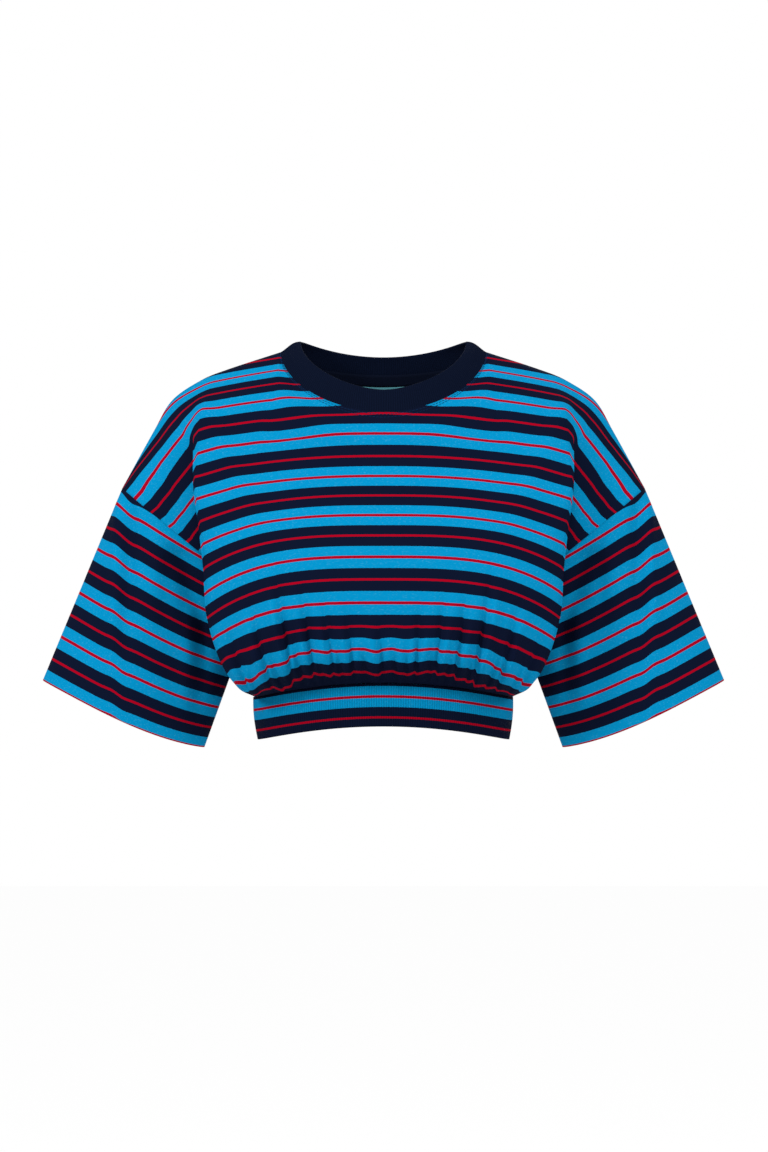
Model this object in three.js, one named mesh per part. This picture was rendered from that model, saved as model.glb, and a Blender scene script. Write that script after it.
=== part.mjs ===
// Crop top: a wide drop-shoulder top in striped jersey, gathered into a striped rib waistband,
// with wide elbow-length sleeves and a rib neck. It is filled out as it is when worn, and open
// at the neck, the cuffs and the hem.
// Millimetres. +X is the wearer's left, +Y the back, +Z up. The origin is the middle of the line
// that joins the two shoulder points at the neck.
import * as THREE from "three";

// Cloth
const wall = 2;
const seamGap = 0.3;
const halfRepeat = 22.2; // one band of the stripe; levels down the panels are counted in bands

// Neck
const neckHalfWidth = 102.5;
const neckFront = { y: -62, z: -63 };
const neckBack = { y: 62, z: -20 };
const neckPower = 1.85;
const neckTop = { halfWidth: 83, sideZ: 12.5, frontY: -58, frontZ: -41, backY: 57, backZ: -1 };
const tapeWidth = 8;
const tapeDrop = 2;
const labelHalfWidth = 25;
const labelHeight = 22;
const trimThickness = 1.2;

// Levels, in bands of the stripe, counted down the cloth
const level = { neckPoint: -3.43, backNeck: -2.5, shoulderEnd: -0.8, frontNeck: 1, firstRow: 3 };
const levelWaistFront = 13.44;
const levelWaistBack = 12.6;

// Shoulder seam: its height falls from the neck to the end of the drop shoulder
const shoulderSeam = [
  { along: 0, x: 102.5, z: 0 },
  { along: 0.26, x: 157.5, z: -18 },
  { along: 0.38, x: 182, z: -28 },
  { along: 0.54, x: 211, z: -48 },
  { along: 0.71, x: 229, z: -78 },
  { along: 1, x: 261, z: -136 },
];

// Armhole and sleeve. The armhole is an ellipse from the shoulder end to the underarm.
const shoulderEnd = { x: 261, z: -136 };
const underarm = { x: 125, z: -246 };
const armholeDepth = 45;
const armholeHalfLength = 215;
const cuffOuter = { x: 340.5, z: -328 };
const cuffInner = { x: 179, z: -395 };
const cuffDepth = 42;
const cuffSag = 4;
const underarmEase = 0.8; // more room at the underarm, where four edges meet
const underarmPush = 3; // how far the panel stands out beside the underarm, clear of the sleeve

// Waist
const waistHalfWidth = 129;
const waistHalfDepth = 95;
const waistSeamZ = -328;
const waistSideDrop = 17;
const waistbandHeight = 42;
const sideSeamBulge = 7;

// Gathers above the waistband
const gathersPerHalf = 6;
const gatherDepth = 3.5;
const gatherLevels = 3.2;

// Each row follows one level of the cloth from the centre to the fold that hangs in front of
// the armpit (edge), and on to the crease behind that fold (tuck).
const frontRows = [
  { level: 3, centreY: -76, centreZ: -107, edgeX: 185, edgeY: -68, edgeZ: -127,
    tuckX: 172, tuckY: -50, tuckZ: -143, dropPower: 2.4 },
  { level: 5, centreY: -97, centreZ: -146, edgeX: 179, edgeY: -73, edgeZ: -171,
    tuckX: 156, tuckY: -56, tuckZ: -188, dropPower: 2.8 },
  { level: 7, centreY: -119, centreZ: -185, edgeX: 174, edgeY: -75, edgeZ: -216,
    tuckX: 149, tuckY: -55, tuckZ: -223, dropPower: 3.3 },
  { level: 8.9, centreY: -130, centreZ: -225, edgeX: 171, edgeY: -75, edgeZ: -262,
    tuckX: 145, tuckY: -51, tuckZ: -258, dropPower: 3.3 },
  { level: 11.2, centreY: -131, centreZ: -277, edgeX: 158, edgeY: -72, edgeZ: -308,
    tuckX: 140, tuckY: -44, tuckZ: -304, dropPower: 3.3 },
  { level: 12.6, centreY: -123, centreZ: -309, edgeX: 143, edgeY: -56, edgeZ: -334,
    tuckX: 136, tuckY: -34, tuckZ: -332, dropPower: 3.3 },
];
const backRows = [
  { level: 3, centreY: 92, centreZ: -135, edgeX: 184, edgeY: 68, edgeZ: -134,
    tuckX: 174, tuckY: 52, tuckZ: -146, dropPower: 2.4 },
  { level: 5, centreY: 101, centreZ: -178, edgeX: 178, edgeY: 72, edgeZ: -178,
    tuckX: 158, tuckY: 56, tuckZ: -190, dropPower: 2.4 },
  { level: 7, centreY: 106, centreZ: -222, edgeX: 172, edgeY: 73, edgeZ: -222,
    tuckX: 150, tuckY: 55, tuckZ: -225, dropPower: 2.4 },
  { level: 8.9, centreY: 108, centreZ: -262, edgeX: 168, edgeY: 72, edgeZ: -266,
    tuckX: 145, tuckY: 51, tuckZ: -260, dropPower: 2.4 },
  { level: 11.2, centreY: 107, centreZ: -303, edgeX: 154, edgeY: 68, edgeZ: -310,
    tuckX: 139, tuckY: 43, tuckZ: -305, dropPower: 2.4 },
];

// Columns across half a panel: to the neck point, to the fold, to the crease, to the side
const columns = { neck: 8, edge: 13, tuck: 17, side: 24 };
const waistShare = { edge: 0.76, tuck: 0.87 }; // where those columns meet the waist ring
const rowsToFirst = 4;
const rowsToUnderarm = 5;
const rowsToWaist = 4;

// How far the shoulder rounds out between the seam and the first row
const shoulderRound = 14;
const centreRound = 2;

// Vectors as [x, y, z]
const plus = (a, b, k = 1) => a.map((value, i) => value + k * b[i]);
const mix = (a, b, t) => a.map((value, i) => value + t * (b[i] - value));
const cross = (a, b) => [
  a[1] * b[2] - a[2] * b[1],
  a[2] * b[0] - a[0] * b[2],
  a[0] * b[1] - a[1] * b[0],
];
const unit = (a) => {
  const length = Math.hypot(...a) || 1;
  return a.map((value) => value / length);
};
const distance = (a, b) => Math.hypot(...plus(a, b, -1));
const smooth = (t) => {
  const k = Math.min(1, Math.max(0, t));
  return k * k * (3 - 2 * k);
};

// A smooth curve through knots [place, vector], cubic between them
function curveThrough(knots, place) {
  const last = knots.length - 1;
  const slope = (i) => {
    const a = knots[Math.max(0, i - 1)];
    const b = knots[Math.min(last, i + 1)];
    return b[1].map((value, k) => (value - a[1][k]) / (b[0] - a[0]));
  };
  let i = 0;
  while (i < last - 1 && place > knots[i + 1][0]) {
    i += 1;
  }
  const span = knots[i + 1][0] - knots[i][0];
  const t = (place - knots[i][0]) / span;
  const from = slope(i);
  const to = slope(i + 1);
  return knots[i][1].map((value, k) => {
    const start = value * (1 + 2 * t) * (1 - t) ** 2 + from[k] * span * t * (1 - t) ** 2;
    return start + knots[i + 1][1][k] * t * t * (3 - 2 * t) + to[k] * span * t * t * (t - 1);
  });
}

// The point at a fraction of a polyline's length
function alongLine(points, fraction) {
  const lengths = points.slice(1).map((point, i) => distance(point, points[i]));
  let rest = fraction * lengths.reduce((sum, value) => sum + value, 0);
  let i = 0;
  while (i < lengths.length - 1 && rest > lengths[i]) {
    rest -= lengths[i];
    i += 1;
  }
  return mix(points[i], points[i + 1], rest / lengths[i]);
}

const shoulderPoint = (along) => {
  const knots = shoulderSeam.map((knot) => [knot.along, [knot.x, 0, knot.z]]);
  return curveThrough(knots, along);
};

// The neck seam from the centre (turn 0) to the neck point (turn 1)
function neckPoint(turn, centre) {
  const angle = (turn * Math.PI) / 2;
  const x = Math.sin(angle) ** (2 / neckPower);
  const rest = Math.cos(angle) ** (2 / neckPower);
  return [neckHalfWidth * x, centre.y * rest, centre.z * rest];
}

function armholePoint(turn, side) {
  const angle = turn * Math.PI;
  const across = (1 - Math.cos(angle)) / 2;
  return [
    shoulderEnd.x + across * (underarm.x - shoulderEnd.x),
    side * armholeDepth * Math.sin(angle),
    shoulderEnd.z + across * (underarm.z - shoulderEnd.z),
  ];
}

const levelUnderarm = level.shoulderEnd + armholeHalfLength / halfRepeat;

// The waist ring, from the centre (0) to the side seam (1)
function waistPoint(turn, side, drop = 0) {
  const angle = (turn * Math.PI) / 2;
  const z = waistSeamZ - waistSideDrop * Math.sin(angle) ** 2 - drop;
  return [waistHalfWidth * Math.sin(angle), side * waistHalfDepth * Math.cos(angle), z];
}

function sideSeamPoint(place) {
  const waist = waistPoint(1, -1);
  const bulge = sideSeamBulge * Math.sin(Math.PI * place);
  return [
    underarm.x + place * (waist[0] - underarm.x) + bulge,
    0,
    underarm.z + place * (waist[2] - underarm.z),
  ];
}

// The panel's side edge: the armhole down to the underarm, then the side seam
function sideEdge(at, side) {
  if (at <= levelUnderarm) {
    return armholePoint((at - level.shoulderEnd) / (levelUnderarm - level.shoulderEnd), side);
  }
  return sideSeamPoint((at - levelUnderarm) / (levelWaistFront - levelUnderarm));
}

// One row of the panel, as the polylines centre to fold, fold to crease, crease to side
function rowLines(row, side) {
  const steps = 20;
  const front = [];
  for (let i = 0; i <= steps; i += 1) {
    const angle = ((i / steps) * Math.PI) / 2;
    const reach = Math.sin(angle) ** 0.85;
    const depth = Math.cos(angle) ** 0.85;
    front.push([
      row.edgeX * reach,
      row.edgeY + (row.centreY - row.edgeY) * depth,
      row.centreZ + (row.edgeZ - row.centreZ) * reach ** row.dropPower,
    ]);
  }
  const edge = front[steps];
  const tuck = [row.tuckX, row.tuckY, row.tuckZ];
  const end = sideEdge(row.level, side);
  const round = [edge[0] + 1, (edge[1] * 2 + tuck[1]) / 3, (edge[2] * 2 + tuck[2]) / 3];
  const knots = [[0, front[steps - 2]], [1, edge], [1.6, round], [2.6, tuck], [4.4, end]];
  const bend = [];
  const out = [];
  for (let i = 0; i <= steps; i += 1) {
    bend.push(curveThrough(knots, 1 + (1.6 * i) / steps));
    out.push(curveThrough(knots, 2.6 + (1.8 * i) / steps));
  }
  return { front, bend, out };
}

function rowPoint(lines, column) {
  if (column <= columns.edge) {
    return alongLine(lines.front, column / columns.edge);
  }
  if (column <= columns.tuck) {
    return alongLine(lines.bend, (column - columns.edge) / (columns.tuck - columns.edge));
  }
  return alongLine(lines.out, (column - columns.tuck) / (columns.side - columns.tuck));
}

// The top edge of a panel: the neck seam, then the shoulder seam
function topEdge(column, centre, centreLevel) {
  if (column <= columns.neck) {
    const turn = column / columns.neck;
    const fall = Math.cos((turn * Math.PI) / 2) ** (2 / neckPower);
    const at = level.neckPoint + (centreLevel - level.neckPoint) * fall;
    return { at, point: neckPoint(turn, centre) };
  }
  const along = (column - columns.neck) / (columns.side - columns.neck);
  const at = level.neckPoint + along * (level.shoulderEnd - level.neckPoint);
  return { at, point: shoulderPoint(along) };
}

// Everything about one half panel that its points are worked out from
const panels = {
  front: { side: -1, rows: frontRows, centre: neckFront, centreLevel: level.frontNeck,
    waistLevel: () => levelWaistFront },
  back: { side: 1, rows: backRows, centre: neckBack, centreLevel: level.backNeck,
    waistLevel: (share) => levelWaistBack + (levelWaistFront - levelWaistBack) * share ** 2 },
};

// How far round the waist ring a column ends, from the centre (0) to the side seam (1)
function waistTurn(column) {
  if (column <= columns.edge) {
    return (waistShare.edge * column) / columns.edge;
  }
  const knots = [[columns.edge, waistShare.edge], [columns.tuck, waistShare.tuck], [columns.side, 1]];
  const [from, to] = column <= columns.tuck ? knots : knots.slice(1);
  return from[1] + ((to[1] - from[1]) * (column - from[0])) / (to[0] - from[0]);
}

function panelPoint(panel, lines, column, at) {
  const share = column / columns.side;
  const top = topEdge(column, panel.centre, panel.centreLevel);
  const first = rowPoint(lines[0], column);
  const lift = centreRound + (shoulderRound - centreRound) * smooth(column / columns.neck);
  const outward = unit([0.75 * smooth(share * 1.6 - 0.6), 0.7 * panel.side, 0.7]);
  const between = plus(mix(top.point, first, 0.5), outward, lift);
  const knots = [[top.at, top.point], [(top.at + level.firstRow) / 2, between]];
  panel.rows.forEach((row, i) => knots.push([row.level, rowPoint(lines[i], column)]));
  knots.push([panel.waistLevel(share), waistPoint(waistTurn(column), panel.side)]);
  return curveThrough(knots, at);
}

// Levels of the grid's rows in one column: the same number in each, closer at the waist
function columnLevels(panel, column) {
  const top = topEdge(column, panel.centre, panel.centreLevel).at;
  const waist = panel.waistLevel(column / columns.side);
  const stages = [
    [top, level.firstRow, rowsToFirst],
    [level.firstRow, levelUnderarm, rowsToUnderarm],
    [levelUnderarm, waist, rowsToWaist],
  ];
  const levels = [top];
  stages.forEach(([from, to, count], stage) => {
    for (let i = 1; i <= count; i += 1) {
      const t = i / count;
      levels.push(from + (to - from) * (stage === 2 ? t ** 0.75 : t));
    }
  });
  return levels;
}

// A half panel's outer face: points[row][column], its side edge laid exactly on the seam
function halfPanel(panel) {
  const lines = panel.rows.map((row) => rowLines(row, panel.side));
  const fadeColumns = 5;
  const points = [];
  for (let column = 0; column <= columns.side; column += 1) {
    columnLevels(panel, column).forEach((at, row) => {
      const point = panelPoint(panel, lines, column, at);
      const near = smooth(1 - (columns.side - column) / fadeColumns);
      if (near > 0) {
        const own = columnLevels(panel, columns.side)[row];
        const miss = plus(sideEdge(own, panel.side), panelPoint(panel, lines, columns.side, own), -1);
        point.forEach((value, k) => {
          point[k] = value + near * miss[k];
        });
        const beside = 4 * near * (1 - near) * smooth(1 - Math.abs(at - levelUnderarm + 1) / 3);
        point[1] += panel.side * underarmPush * beside;
      }
      points[row] ??= [];
      points[row][column] = point;
    });
  }
  return points;
}

// Gathers: small ridges that start at the waistband and fade out up the cloth
function addGathers(points, normals, panel) {
  points.forEach((row, r) => row.forEach((point, column) => {
    const levels = columnLevels(panel, column);
    const last = levels[levels.length - 1];
    const fade = smooth(1 - (last - levels[r]) / gatherLevels) * (r === levels.length - 1 ? 0 : 1);
    const wave = Math.cos((2 * Math.PI * gathersPerHalf * column) / columns.side);
    const quiet = smooth((columns.side - column) / 3);
    row[column] = plus(point, normals[r][column], gatherDepth * fade * wave * quiet);
  }));
}

// Outward unit normals of a grid of points; side is the sign that makes them point outward
function gridNormals(points, closed, sign) {
  const rows = points.length;
  const count = points[0].length;
  return points.map((row, r) => row.map((_, c) => {
    const before = closed ? (c + count - 1) % count : Math.max(0, c - 1);
    const after = closed ? (c + 1) % count : Math.min(count - 1, c + 1);
    const across = plus(row[after], row[before], -1);
    const down = plus(points[Math.min(rows - 1, r + 1)][c], points[Math.max(0, r - 1)][c], -1);
    return unit(cross(across, down)).map((value) => value * sign);
  }));
}

// A closed solid between two grids of the same size, as a three.js geometry. The diagonals of
// its faces lean the other way past the middle, so that its two halves mirror each other.
function solidBetween(outer, inner, closed) {
  const rows = outer.length;
  const count = outer[0].length;
  const positions = [...outer.flat(), ...inner.flat()].flat();
  const back = rows * count;
  const index = [];
  const quad = (a, b, c, d) => index.push(a, b, c, a, c, d);
  const spans = closed ? count : count - 1;
  for (let c = 0; c < spans; c += 1) {
    const next = (c + 1) % count;
    for (let r = 0; r < rows - 1; r += 1) {
      const a = r * count + c;
      const b = r * count + next;
      if (2 * c < spans) {
        quad(a, a + count, b + count, b);
        quad(back + a, back + b, back + b + count, back + a + count);
      } else {
        quad(a + count, b + count, b, a);
        quad(back + b, back + b + count, back + a + count, back + a);
      }
    }
    const foot = (rows - 1) * count;
    quad(c, next, back + next, back + c);
    quad(foot + c, back + foot + c, back + foot + next, foot + next);
  }
  if (!closed) {
    for (let r = 0; r < rows - 1; r += 1) {
      const left = r * count;
      const right = left + count - 1;
      quad(left, back + left, back + left + count, left + count);
      quad(right, right + count, back + right + count, back + right);
    }
  }
  const geometry = new THREE.BufferGeometry();
  geometry.setAttribute("position", new THREE.Float32BufferAttribute(positions, 3));
  geometry.setIndex(index);
  return geometry;
}

// Turn a geometry's faces to point out if they point in
function facingOut(geometry) {
  const at = geometry.getAttribute("position");
  const index = geometry.getIndex();
  const corner = (i) => new THREE.Vector3().fromBufferAttribute(at, index.getX(i));
  let volume = 0;
  for (let i = 0; i < index.count; i += 3) {
    volume += corner(i).dot(corner(i + 1).cross(corner(i + 2)));
  }
  if (volume < 0) {
    for (let i = 0; i < index.count; i += 3) {
      const second = index.getX(i + 1);
      index.setX(i + 1, index.getX(i + 2));
      index.setX(i + 2, second);
    }
  }
  geometry.computeVertexNormals();
  return geometry;
}

const mirrorX = ([x, y, z]) => [-x, y, z];

// Both halves of a grid side by side, from -X to +X
const wholeRows = (half) => half.map((row) => [...row.slice(1).reverse().map(mirrorX), ...row]);

// The direction from a panel's outer face to its inner face at the side edge
function sideInward(at, side) {
  if (at > levelUnderarm) {
    return [-1, 0, 0];
  }
  const turn = (at - level.shoulderEnd) / (levelUnderarm - level.shoulderEnd);
  const centre = [(shoulderEnd.x + underarm.x) / 2, 0, (shoulderEnd.z + underarm.z) / 2];
  const radial = unit(plus(centre, armholePoint(turn, side), -1));
  return unit(mix(radial, [-0.6, 0, 0.8], smooth(turn * 2.4 - 1.4)));
}

// The armhole's plane faces the sleeve
const armholeNormal = unit([
  -(underarm.z - shoulderEnd.z),
  0,
  underarm.x - shoulderEnd.x,
]);

function panelGrids(panel) {
  const outer = halfPanel(panel);
  const normalsOf = () => {
    const whole = wholeRows(outer);
    return gridNormals(whole, false, panel.side).map((row) => row.slice(columns.side));
  };
  addGathers(outer, normalsOf(), panel);
  const normals = normalsOf();
  const inner = outer.map((row, r) => row.map((point, c) => plus(point, normals[r][c], -wall)));
  const lastRow = outer.length - 1;
  const half = seamGap / 2;
  for (let c = columns.neck; c <= columns.side; c += 1) {
    const along = (c - columns.neck) / (columns.side - columns.neck);
    const ahead = shoulderPoint(Math.min(1, along + 0.01));
    const behind = shoulderPoint(Math.max(0, along - 0.01));
    const tangent = unit(plus(ahead, behind, -1));
    outer[0][c] = plus(outer[0][c], [0, panel.side * half, 0]);
    inner[0][c] = plus(outer[0][c], [tangent[2], 0, -tangent[0]], wall);
  }
  outer.forEach((row, r) => {
    const at = columnLevels(panel, columns.side)[r];
    const onArmhole = r <= rowsToFirst + rowsToUnderarm;
    const onSideSeam = r >= rowsToFirst + rowsToUnderarm;
    const turn = (at - level.shoulderEnd) / (levelUnderarm - level.shoulderEnd);
    const clear = half + underarmEase * smooth(3 * turn - 2);
    row[columns.side] = plus(row[columns.side], armholeNormal, onArmhole ? -clear : 0);
    row[columns.side] = plus(row[columns.side], [0, panel.side, 0], onSideSeam ? half : 0);
    inner[r][columns.side] = plus(row[columns.side], sideInward(at, panel.side), wall);
  });
  outer[lastRow].forEach((point, c) => {
    const inward = unit([-point[0] / waistHalfWidth ** 2, -point[1] / waistHalfDepth ** 2, 0]);
    outer[lastRow][c] = plus(point, [0, 0, half]);
    inner[lastRow][c] = plus(outer[lastRow][c], inward, wall);
  });
  return { outer: wholeRows(outer), inner: wholeRows(inner) };
}

// Turns round the armhole where the panels' rows end, from the shoulder end and back to it
function armholeTurns() {
  const levels = columnLevels(panels.front, columns.side).slice(0, rowsToFirst + rowsToUnderarm + 1);
  const turns = levels.map((at) => (at - level.shoulderEnd) / (levelUnderarm - level.shoulderEnd));
  return [...turns, ...turns.slice(1, -1).reverse().map((turn) => 2 - turn)];
}

// A sleeve: rings from the armhole's ellipse to the cuff's
function sleeveGrids(sign) {
  const turns = armholeTurns();
  const rings = 5;
  const outer = [];
  const inner = [];
  for (let ring = 0; ring <= rings; ring += 1) {
    const t = ring / rings;
    const high = mix([shoulderEnd.x, 0, shoulderEnd.z], [cuffOuter.x, 0, cuffOuter.z], t);
    const low = mix([underarm.x, 0, underarm.z], [cuffInner.x, 0, cuffInner.z], t);
    const centre = mix(high, low, 0.5);
    const reach = plus(high, centre, -1);
    const depth = armholeDepth + t * (cuffDepth - armholeDepth);
    const away = unit([reach[2], 0, -reach[0]]);
    const outerRow = [];
    const innerRow = [];
    for (const turn of turns) {
      const angle = -turn * Math.PI;
      const spoke = plus(reach.map((value) => value * Math.cos(angle)), [0, depth * Math.sin(angle), 0]);
      const sag = cuffSag * t * Math.sin(angle) ** 2 + (ring === 0 ? seamGap / 2 : 0);
      const point = plus(plus(centre, spoke), away, sag);
      outerRow.push(point);
      innerRow.push(plus(point, unit(spoke), -wall));
    }
    outer.push(outerRow.map(([x, y, z]) => [x * sign, y, z]));
    inner.push(innerRow.map(([x, y, z]) => [x * sign, y, z]));
  }
  return { outer, inner };
}

// A ring of points from a function of the turn, counted 0 front, 1 side, 2 back, 3 side
function ring(count, pointAt) {
  const points = [];
  for (let i = 0; i < count; i += 1) {
    const turn = (4 * i) / count;
    const side = turn <= 1 || turn >= 3 ? -1 : 1;
    const fold = turn > 2 ? 4 - turn : turn;
    const quarter = fold > 1 ? 2 - fold : fold;
    const point = pointAt(quarter, side);
    points.push(turn > 2 ? mirrorX(point) : point);
  }
  return points;
}

// The neck rib: from the neck seam up and in to its top edge
function neckRibGrids() {
  const count = 40;
  const heights = [0, 0.35, 0.7, 1];
  const bow = 1.5;
  const seam = ring(count, (turn, side) => neckPoint(turn, side < 0 ? neckFront : neckBack));
  const top = ring(count, (turn, side) => {
    const angle = (turn * Math.PI) / 2;
    const y = side < 0 ? neckTop.frontY : neckTop.backY;
    const z = side < 0 ? neckTop.frontZ : neckTop.backZ;
    const rise = side < 0 ? (1 - Math.cos(angle)) ** 0.85 : Math.sin(angle) ** 2;
    return [
      neckTop.halfWidth * Math.sin(angle),
      y * Math.cos(angle),
      z + (neckTop.sideZ - z) * rise,
    ];
  });
  const outer = heights.map((t) => seam.map((point, i) => {
    const out = unit([point[0], point[1], 0]);
    const lifted = plus(mix(point, top[i], t), out, 4 * bow * t * (1 - t));
    return t === 0 ? plus(lifted, unit(plus(top[i], point, -1)), 4 * seamGap) : lifted;
  }));
  const normals = gridNormals(outer, true, -1);
  const inner = outer.map((row, r) => row.map((point, i) => plus(point, normals[r][i], -wall)));
  return { outer, inner };
}

function waistbandGrids() {
  const count = 48;
  const heights = [0, 0.5, 1];
  const outer = heights.map((t) => ring(count, (turn, side) => {
    const drop = t * waistbandHeight + (t === 0 ? seamGap / 2 : 0);
    return waistPoint(turn, side, drop);
  }));
  const inner = outer.map((row) => row.map((point) => {
    const inward = unit([-point[0] / waistHalfWidth ** 2, -point[1] / waistHalfDepth ** 2, 0]);
    return plus(point, inward, wall);
  }));
  return { outer, inner };
}

// A strip that lies inside the back panel, made from that panel's inner points moved in
function insideBack(fromColumn, toColumn, steps, drop, height) {
  const panel = panels.back;
  const lines = panel.rows.map((row) => rowLines(row, panel.side));
  const outer = [];
  const inner = [];
  [0, 1].forEach((edge) => {
    const outerRow = [];
    const innerRow = [];
    for (let i = 0; i <= steps; i += 1) {
      const column = fromColumn + ((toColumn - fromColumn) * i) / steps;
      const place = Math.abs(column);
      const top = topEdge(place, panel.centre, panel.centreLevel).at;
      const at = top + (drop + edge * height) / halfRepeat;
      const here = panelPoint(panel, lines, place, at);
      const down = plus(panelPoint(panel, lines, place, at + 0.1), here, -1);
      const across = plus(panelPoint(panel, lines, place + 0.1, at), here, -1);
      const inward = unit(cross(across, down)).map((value) => -value * panel.side);
      const face = plus(here, inward, wall + 3 * seamGap);
      const flip = (point) => (column < 0 ? mirrorX(point) : point);
      outerRow.push(flip(face));
      innerRow.push(flip(plus(face, inward, trimThickness)));
    }
    outer.push(outerRow);
    inner.push(innerRow);
  });
  return { outer, inner };
}

const stripedJersey = { color: 0x1878b0, roughness: 0.9, metalness: 0 };
const stripedRib = { color: 0x16549a, roughness: 0.9, metalness: 0 };
const navyRib = { color: 0x11162a, roughness: 0.92, metalness: 0 };
const navyTape = { color: 0x0f1525, roughness: 0.9, metalness: 0 };
const tealLabel = { color: 0x4c7e84, roughness: 0.8, metalness: 0 };

function piece(name, grids, closed, finish) {
  const geometry = facingOut(solidBetween(grids.outer, grids.inner, closed));
  const mesh = new THREE.Mesh(geometry, new THREE.MeshStandardMaterial(finish));
  mesh.name = name;
  return mesh;
}

const labelTurn = Math.asin((labelHalfWidth / neckHalfWidth) ** (neckPower / 2)) / (Math.PI / 2);
const labelColumns = columns.neck * labelTurn;
const cropTop = new THREE.Group();
cropTop.add(
  piece("front_panel", panelGrids(panels.front), false, stripedJersey),
  piece("back_panel", panelGrids(panels.back), false, stripedJersey),
  piece("sleeve_left", sleeveGrids(1), true, stripedJersey),
  piece("sleeve_right", sleeveGrids(-1), true, stripedJersey),
  piece("neck_rib", neckRibGrids(), true, navyRib),
  piece("waistband", waistbandGrids(), true, stripedRib),
  piece("neck_tape", insideBack(-columns.neck + 1, columns.neck - 1, 20, tapeDrop, tapeWidth), false,
    navyTape),
  piece("neck_label", insideBack(-labelColumns, labelColumns, 6, tapeDrop + tapeWidth + 1, labelHeight),
    false, tealLabel),
);

export default cropTop;
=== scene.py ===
import bpy
import numpy as np
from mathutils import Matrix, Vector


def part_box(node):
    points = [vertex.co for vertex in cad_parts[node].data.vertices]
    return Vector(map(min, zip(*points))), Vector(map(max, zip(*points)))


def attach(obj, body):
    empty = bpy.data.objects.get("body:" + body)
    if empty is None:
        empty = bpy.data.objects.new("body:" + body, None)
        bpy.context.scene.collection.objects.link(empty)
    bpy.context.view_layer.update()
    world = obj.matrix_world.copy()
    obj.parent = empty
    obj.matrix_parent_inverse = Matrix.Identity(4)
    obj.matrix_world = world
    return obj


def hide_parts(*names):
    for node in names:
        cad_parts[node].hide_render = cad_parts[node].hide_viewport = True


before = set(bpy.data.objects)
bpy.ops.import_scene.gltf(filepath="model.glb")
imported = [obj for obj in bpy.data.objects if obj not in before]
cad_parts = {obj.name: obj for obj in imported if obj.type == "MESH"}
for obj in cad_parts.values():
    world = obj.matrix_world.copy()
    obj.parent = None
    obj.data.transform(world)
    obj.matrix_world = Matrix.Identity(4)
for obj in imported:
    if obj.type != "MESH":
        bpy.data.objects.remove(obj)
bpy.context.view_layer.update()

mm = 0.001
print("stage: frame loaded,", len(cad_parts), "nodes")


# Helpers that every piece uses. Grids are in millimetres, with rows going down the cloth.
def smooth(t):
    k = np.clip(t, 0.0, 1.0)
    return k * k * (3 - 2 * k)


def unit(v):
    return v / np.maximum(np.linalg.norm(v, axis=-1, keepdims=True), 1e-9)


def curveThrough(places, values, at):
    # cubic through the knots, at many places at once
    places = np.asarray(places, float)
    values = np.asarray(values, float)
    at = np.asarray(at, float)
    last = len(places) - 1
    low = np.maximum(np.arange(last + 1) - 1, 0)
    high = np.minimum(np.arange(last + 1) + 1, last)
    slope = (values[high] - values[low]) / (places[high] - places[low])[:, None]
    i = np.clip(np.searchsorted(places, at, side="left") - 1, 0, last - 1)
    span = (places[i + 1] - places[i])[:, None]
    t = ((at - places[i])[:, None]) / span
    start = values[i] * (1 + 2 * t) * (1 - t) ** 2 + slope[i] * span * t * (1 - t) ** 2
    return start + values[i + 1] * t * t * (3 - 2 * t) + slope[i + 1] * span * t * t * (t - 1)


def alongLine(points, fractions):
    # points at these shares of a line's length
    steps = np.linalg.norm(np.diff(points, axis=0), axis=1)
    run = np.concatenate([[0], np.cumsum(steps)]) / steps.sum()
    return np.stack([np.interp(fractions, run, points[:, k]) for k in range(3)], axis=-1)


def gridNormals(points, closed=False):
    # rows go down, columns go towards +X on the front
    if closed:
        across = np.roll(points, -1, axis=1) - np.roll(points, 1, axis=1)
    else:
        across = np.gradient(points, axis=1)
    return unit(np.cross(across, np.gradient(points, axis=0)))


foldEnds = {"foot": 6.0, "tip": 1.6}       # how quickly a fold rises at its foot and fades at its tip


def foldPush(x, z, folds):
    # how far each point moves out: a fold is a soft ridge (height above 0) or trough along a line
    push = np.zeros_like(x)
    for x1, z1, x2, z2, width1, width2, height in folds:
        run = np.hypot(x2 - x1, z2 - z1)
        ux, uz = (x2 - x1) / run, (z2 - z1) / run
        t = ((x - x1) * ux + (z - z1) * uz) / run
        off = (x - x1) * uz - (z - z1) * ux
        width = width1 + (width2 - width1) * np.clip(t, 0, 1)
        taper = smooth(t * foldEnds["foot"] + 1) * smooth((1 - t) * foldEnds["tip"])
        push += height * taper * np.exp(-(off / width) ** 2)
    return push


def meshFrom(name, grid, closed=False, stripe=None, rib=None):
    rows, count = grid.shape[:2]
    spans = count if closed else count - 1
    faces = []
    for r in range(rows - 1):
        for c in range(spans):
            n = (c + 1) % count
            faces.append((r * count + c, (r + 1) * count + c, (r + 1) * count + n, r * count + n))
    mesh = bpy.data.meshes.new(name)
    mesh.from_pydata((grid.reshape(-1, 3) * mm).tolist(), [], faces)
    for label, values in (("stripe", stripe), ("rib", rib)):
        if values is not None:
            layer = mesh.attributes.new(label, "FLOAT", "POINT")
            layer.data.foreach_set("value", np.asarray(values, np.float32).ravel())
    mesh.shade_smooth()
    piece = bpy.data.objects.new(name, mesh)
    bpy.context.scene.collection.objects.link(piece)
    return piece


def openedRing(grid):
    # starts at the centre back, with the first column repeated at the end
    turned = np.roll(grid, -(grid.shape[1] // 2), axis=1)
    return np.concatenate([turned, turned[:, :1]], axis=1)


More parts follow.
